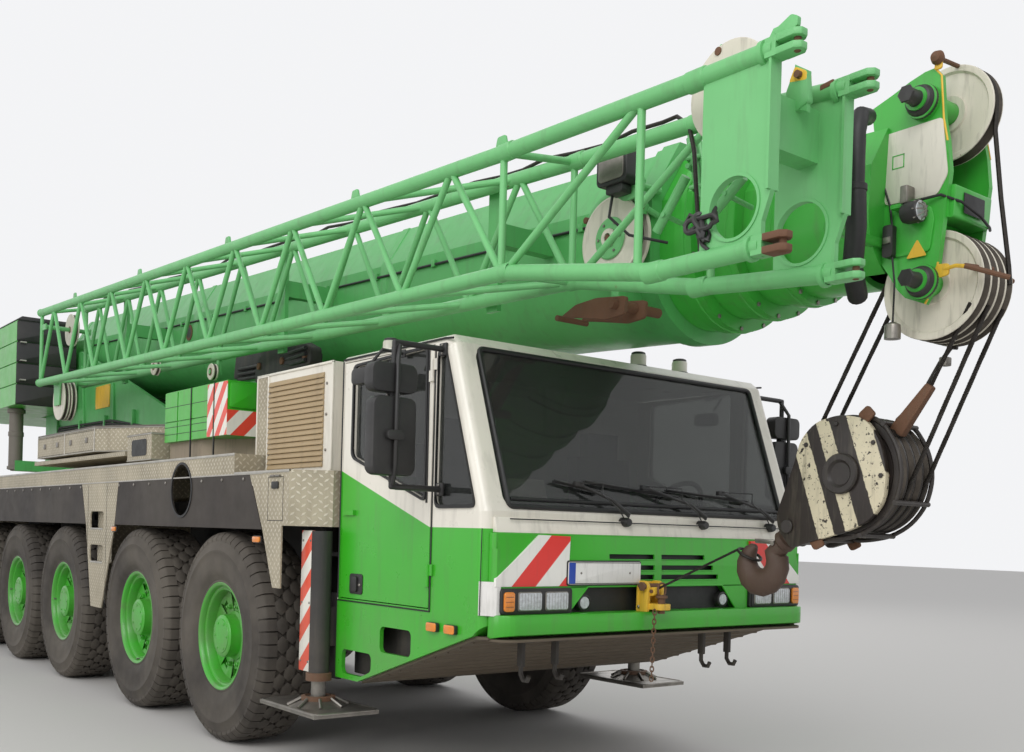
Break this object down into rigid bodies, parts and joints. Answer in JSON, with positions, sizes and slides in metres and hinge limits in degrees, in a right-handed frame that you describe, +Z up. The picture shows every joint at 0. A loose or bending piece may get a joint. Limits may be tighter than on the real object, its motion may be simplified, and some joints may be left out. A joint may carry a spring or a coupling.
{
  "type": "mobile crane",
  "caption": "Road-going telescopic mobile crane with driver's cab, slewing superstructure, luffing boom, stowed lattice extension and outriggers.",
  "frame": {"origin": "on the ground, at the middle of the machine's bounding box", "axes": "+X forward, +Y to the driver's left, +Z up"},
  "size_m": [14.6389, 3.436, 3.9674],
  "materials": {
    "black_plastic": "plain",
    "black_rubber": "plain",
    "bright_rod": "plain",
    "clear_glass": "plain",
    "cream_paint": "semi-gloss",
    "engine_metal": "plain",
    "green_paint": "semi-gloss",
    "grey_underbody": "semi-gloss",
    "hook_paint": "semi-gloss",
    "lamp_lens": "plain",
    "light_green_paint": "semi-gloss",
    "rope_sheave": "semi-gloss",
    "seat_cloth": "plain",
    "tread_plate": "plain",
    "tyre_and_rim": "plain"
  },
  "bodies": {
    "carrier": {"chassis_frame": "grey_underbody", "deck": "tread_plate", "fenders": "black_rubber", "cab_shell": "green_paint", "cab_glass": "clear_glass", "cab_interior": "seat_cloth", "front_panel": "green_paint", "cab_lamps": "lamp_lens", "mirrors": "black_plastic", "engine_hood": "cream_paint", "engine_block": "engine_metal", "deck_ballast": "green_paint", "axles": "grey_underbody"},
    "wheel_1_left": {"wheel_1_left": "tyre_and_rim"},
    "knuckle_1_left": {"knuckle_1_left": "grey_underbody"},
    "wheel_1_right": {"wheel_1_right": "tyre_and_rim"},
    "knuckle_1_right": {"knuckle_1_right": "grey_underbody"},
    "wheel_2_left": {"wheel_2_left": "tyre_and_rim"},
    "knuckle_2_left": {"knuckle_2_left": "grey_underbody"},
    "wheel_2_right": {"wheel_2_right": "tyre_and_rim"},
    "knuckle_2_right": {"knuckle_2_right": "grey_underbody"},
    "wheel_3_left": {"wheel_3_left": "tyre_and_rim"},
    "wheel_3_right": {"wheel_3_right": "tyre_and_rim"},
    "wheel_4_left": {"wheel_4_left": "tyre_and_rim"},
    "knuckle_4_left": {"knuckle_4_left": "grey_underbody"},
    "wheel_4_right": {"wheel_4_right": "tyre_and_rim"},
    "knuckle_4_right": {"knuckle_4_right": "grey_underbody"},
    "wheel_5_left": {"wheel_5_left": "tyre_and_rim"},
    "knuckle_5_left": {"knuckle_5_left": "grey_underbody"},
    "wheel_5_right": {"wheel_5_right": "tyre_and_rim"},
    "knuckle_5_right": {"knuckle_5_right": "grey_underbody"},
    "outrigger_beam_front_left": {"outrigger_beam_front_left": "cream_paint"},
    "outrigger_jack_front_left": {"outrigger_jack_front_left": "bright_rod"},
    "outrigger_beam_front_right": {"outrigger_beam_front_right": "cream_paint"},
    "outrigger_jack_front_right": {"outrigger_jack_front_right": "bright_rod"},
    "outrigger_beam_rear_left": {"outrigger_beam_rear_left": "cream_paint"},
    "outrigger_jack_rear_left": {"outrigger_jack_rear_left": "bright_rod"},
    "outrigger_beam_rear_right": {"outrigger_beam_rear_right": "cream_paint"},
    "outrigger_jack_rear_right": {"outrigger_jack_rear_right": "bright_rod"},
    "door_left": {"cab_door_left": "green_paint", "cab_door_left_glass": "clear_glass"},
    "door_right": {"cab_door_right": "green_paint", "cab_door_right_glass": "clear_glass"},
    "upper": {"upper_frame": "green_paint", "winches": "grey_underbody", "counterweight": "green_paint", "operator_cab": "green_paint", "operator_cab_glass": "clear_glass"},
    "operator_door": {"operator_door": "green_paint"},
    "boom": {"boom_base": "light_green_paint", "cable_reel": "rope_sheave", "lattice_jib": "light_green_paint"},
    "section_1": {"boom_section_1": "light_green_paint"},
    "section_2": {"boom_section_2": "light_green_paint"},
    "section_3": {"boom_section_3": "light_green_paint", "boom_head": "light_green_paint", "head_sheaves": "rope_sheave"},
    "hook": {"hook_block": "hook_paint"},
    "luff_barrel": {"luff_barrel": "green_paint"},
    "luff_rod": {"luff_rod": "bright_rod"}
  },
  "joints": [
    {"name": "steer_1_left", "type": "hinge", "parent": "carrier", "child": "knuckle_1_left", "pos_m": [2.6305, 1.06, 0.72], "axis": [0, 0, 1], "range_deg": [-20, 20]},
    {"name": "roll_1_left", "type": "hinge", "parent": "knuckle_1_left", "child": "wheel_1_left", "pos_m": [2.6305, 1.28, 0.72], "axis": [0, 1, 0], "continuous": true},
    {"name": "steer_1_right", "type": "hinge", "parent": "carrier", "child": "knuckle_1_right", "pos_m": [2.6305, -1.06, 0.72], "axis": [0, 0, 1], "range_deg": [-20, 20]},
    {"name": "roll_1_right", "type": "hinge", "parent": "knuckle_1_right", "child": "wheel_1_right", "pos_m": [2.6305, -1.28, 0.72], "axis": [0, 1, 0], "continuous": true},
    {"name": "steer_2_left", "type": "hinge", "parent": "carrier", "child": "knuckle_2_left", "pos_m": [0.9805, 1.06, 0.72], "axis": [0, 0, 1], "range_deg": [-14, 14]},
    {"name": "roll_2_left", "type": "hinge", "parent": "knuckle_2_left", "child": "wheel_2_left", "pos_m": [0.9805, 1.28, 0.72], "axis": [0, 1, 0], "continuous": true},
    {"name": "steer_2_right", "type": "hinge", "parent": "carrier", "child": "knuckle_2_right", "pos_m": [0.9805, -1.06, 0.72], "axis": [0, 0, 1], "range_deg": [-14, 14]},
    {"name": "roll_2_right", "type": "hinge", "parent": "knuckle_2_right", "child": "wheel_2_right", "pos_m": [0.9805, -1.28, 0.72], "axis": [0, 1, 0], "continuous": true},
    {"name": "roll_3_left", "type": "hinge", "parent": "carrier", "child": "wheel_3_left", "pos_m": [-1.0195, 1.28, 0.72], "axis": [0, 1, 0], "continuous": true},
    {"name": "roll_3_right", "type": "hinge", "parent": "carrier", "child": "wheel_3_right", "pos_m": [-1.0195, -1.28, 0.72], "axis": [0, 1, 0], "continuous": true},
    {"name": "steer_4_left", "type": "hinge", "parent": "carrier", "child": "knuckle_4_left", "pos_m": [-2.6695, 1.06, 0.72], "axis": [0, 0, 1], "range_deg": [-9, 9]},
    {"name": "roll_4_left", "type": "hinge", "parent": "knuckle_4_left", "child": "wheel_4_left", "pos_m": [-2.6695, 1.28, 0.72], "axis": [0, 1, 0], "continuous": true},
    {"name": "steer_4_right", "type": "hinge", "parent": "carrier", "child": "knuckle_4_right", "pos_m": [-2.6695, -1.06, 0.72], "axis": [0, 0, 1], "range_deg": [-9, 9]},
    {"name": "roll_4_right", "type": "hinge", "parent": "knuckle_4_right", "child": "wheel_4_right", "pos_m": [-2.6695, -1.28, 0.72], "axis": [0, 1, 0], "continuous": true},
    {"name": "steer_5_left", "type": "hinge", "parent": "carrier", "child": "knuckle_5_left", "pos_m": [-4.3195, 1.06, 0.72], "axis": [0, 0, 1], "range_deg": [-14, 14]},
    {"name": "roll_5_left", "type": "hinge", "parent": "knuckle_5_left", "child": "wheel_5_left", "pos_m": [-4.3195, 1.28, 0.72], "axis": [0, 1, 0], "continuous": true},
    {"name": "steer_5_right", "type": "hinge", "parent": "carrier", "child": "knuckle_5_right", "pos_m": [-4.3195, -1.06, 0.72], "axis": [0, 0, 1], "range_deg": [-14, 14]},
    {"name": "roll_5_right", "type": "hinge", "parent": "knuckle_5_right", "child": "wheel_5_right", "pos_m": [-4.3195, -1.28, 0.72], "axis": [0, 1, 0], "continuous": true},
    {"name": "extend_front_left", "type": "slide", "parent": "carrier", "child": "outrigger_beam_front_left", "axis": [0, 1, 0], "range_m": [0, 2.1]},
    {"name": "lower_front_left", "type": "slide", "parent": "outrigger_beam_front_left", "child": "outrigger_jack_front_left", "axis": [0, 0, -1], "range_m": [0, 0.37]},
    {"name": "extend_front_right", "type": "slide", "parent": "carrier", "child": "outrigger_beam_front_right", "axis": [0, -1, 0], "range_m": [0, 2.1]},
    {"name": "lower_front_right", "type": "slide", "parent": "outrigger_beam_front_right", "child": "outrigger_jack_front_right", "axis": [0, 0, -1], "range_m": [0, 0.37]},
    {"name": "extend_rear_left", "type": "slide", "parent": "carrier", "child": "outrigger_beam_rear_left", "axis": [0, 1, 0], "range_m": [0, 2.1]},
    {"name": "lower_rear_left", "type": "slide", "parent": "outrigger_beam_rear_left", "child": "outrigger_jack_rear_left", "axis": [0, 0, -1], "range_m": [0, 0.37]},
    {"name": "extend_rear_right", "type": "slide", "parent": "carrier", "child": "outrigger_beam_rear_right", "axis": [0, -1, 0], "range_m": [0, 2.1]},
    {"name": "lower_rear_right", "type": "slide", "parent": "outrigger_beam_rear_right", "child": "outrigger_jack_rear_right", "axis": [0, 0, -1], "range_m": [0, 0.37]},
    {"name": "open_door_left", "type": "hinge", "parent": "carrier", "child": "door_left", "pos_m": [4.8685, 1.272, 1.7], "axis": [0, 0, -1], "range_deg": [0, 65]},
    {"name": "open_door_right", "type": "hinge", "parent": "carrier", "child": "door_right", "pos_m": [4.8685, -1.272, 1.7], "axis": [0, 0, 1], "range_deg": [0, 65]},
    {"name": "slew", "type": "hinge", "parent": "carrier", "child": "upper", "pos_m": [-2.2695, 0, 2.02], "axis": [0, 0, 1], "continuous": true},
    {"name": "open_operator_door", "type": "hinge", "parent": "upper", "child": "operator_door", "pos_m": [-1.6975, 1.482, 2.9], "axis": [0, 0, 1], "range_deg": [0, 75]},
    {"name": "luff", "type": "hinge", "parent": "upper", "child": "boom", "pos_m": [-4.1695, 0, 3.2], "axis": [0, -1, 0], "range_deg": [0, 78]},
    {"name": "telescope_1", "type": "slide", "parent": "boom", "child": "section_1", "axis": [0.9991, 0, -0.0419], "range_m": [0, 8.4]},
    {"name": "telescope_2", "type": "slide", "parent": "section_1", "child": "section_2", "axis": [0.9991, 0, -0.0419], "range_m": [0, 8.4]},
    {"name": "telescope_3", "type": "slide", "parent": "section_2", "child": "section_3", "axis": [0.9991, 0, -0.0419], "range_m": [0, 8.4]},
    {"name": "hook_swing", "type": "hinge", "parent": "section_3", "child": "hook", "pos_m": [7.0795, 0, 2.624], "axis": [0, -1, 0], "range_deg": [-20, 60]},
    {"name": "luff_barrel_turn", "type": "hinge", "parent": "upper", "child": "luff_barrel", "pos_m": [-2.9695, 0, 2.3], "axis": [0, -1, 0], "range_deg": [0, 80.77]},
    {"name": "luff_rod_slide", "type": "slide", "parent": "luff_barrel", "child": "luff_rod", "axis": [0.9938, 0, 0.1111], "range_m": [0, 1.8778]}
  ],
  "couplings": [
    {"joint": "steer_1_right", "follows": "steer_1_left", "ratio": 1},
    {"joint": "steer_2_left", "follows": "steer_1_left", "ratio": 0.7},
    {"joint": "steer_2_right", "follows": "steer_1_left", "ratio": 0.7},
    {"joint": "steer_4_left", "follows": "steer_1_left", "ratio": -0.45},
    {"joint": "steer_4_right", "follows": "steer_1_left", "ratio": -0.45},
    {"joint": "steer_5_left", "follows": "steer_1_left", "ratio": -0.7},
    {"joint": "steer_5_right", "follows": "steer_1_left", "ratio": -0.7},
    {"joint": "telescope_2", "follows": "telescope_1", "ratio": 1},
    {"joint": "telescope_3", "follows": "telescope_1", "ratio": 1},
    {"joint": "luff_barrel_turn", "follows": "luff", "ratio": 1.0353},
    {"joint": "luff_rod_slide", "follows": "luff", "m_per_rad": 1.3786}
  ]
}
